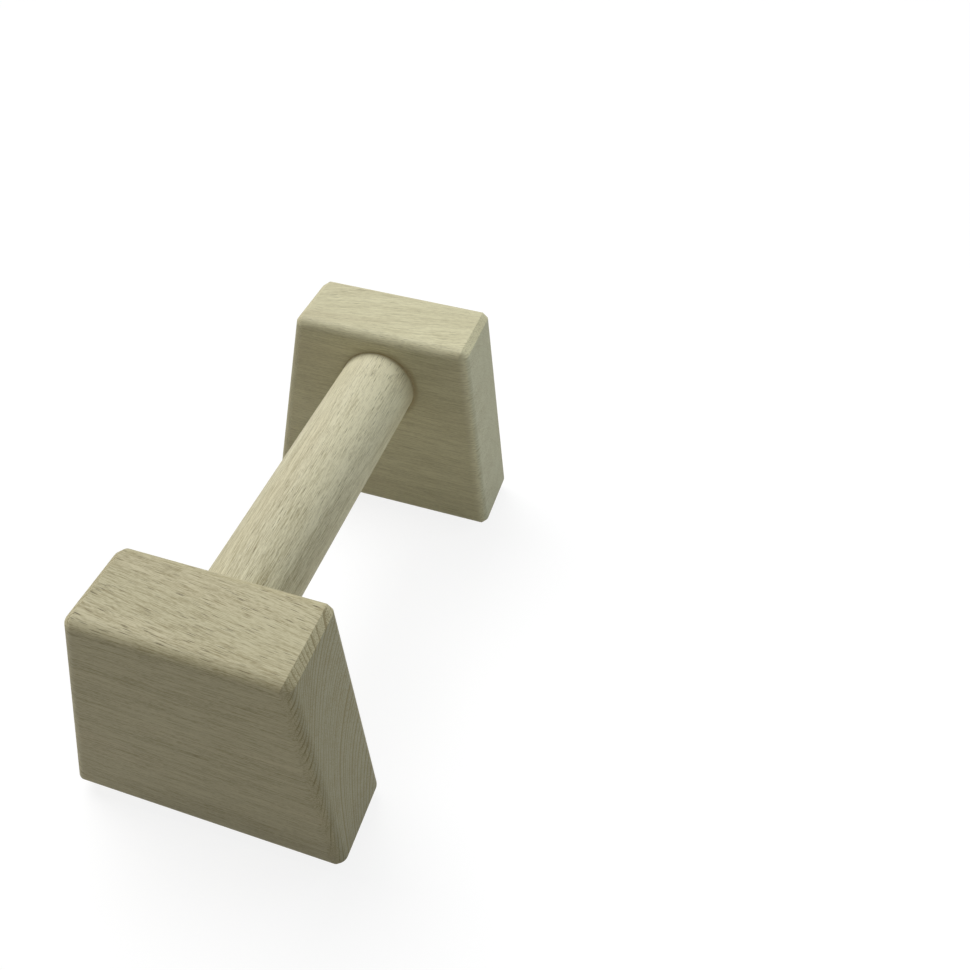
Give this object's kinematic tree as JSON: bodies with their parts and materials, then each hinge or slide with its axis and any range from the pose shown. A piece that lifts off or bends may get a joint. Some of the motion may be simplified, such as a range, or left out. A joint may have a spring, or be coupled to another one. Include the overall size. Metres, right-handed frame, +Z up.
{
  "type": "parallette bar",
  "caption": "Low wooden parallette: a round dowel grip glued between trapezoid end blocks that stand on round treaded rubber feet, for push-ups and handstands.",
  "frame": {"origin": "on the floor, at the middle of the bar's length and width", "axes": "+X along the grip bar, +Z up, +Y across the blocks"},
  "size_m": [0.228, 0.1128, 0.1062],
  "materials": {
    "beech_block": "sanded, matt",
    "beech_bar": "sanded, matt",
    "glue": "cured wood glue",
    "rubber": "moulded, matt",
    "tape": "adhesive film"
  },
  "bodies": {
    "root": {"grip_bar": "beech_bar", "block_left": "beech_block", "block_right": "beech_block", "glue_left": "glue", "glue_right": "glue", "foot_left_front": "rubber", "foot_left_rear": "rubber", "foot_right_front": "rubber", "foot_right_rear": "rubber", "tape_left_front": "tape", "tape_left_rear": "tape", "tape_right_front": "tape", "tape_right_rear": "tape"}
  },
  "joints": []
}
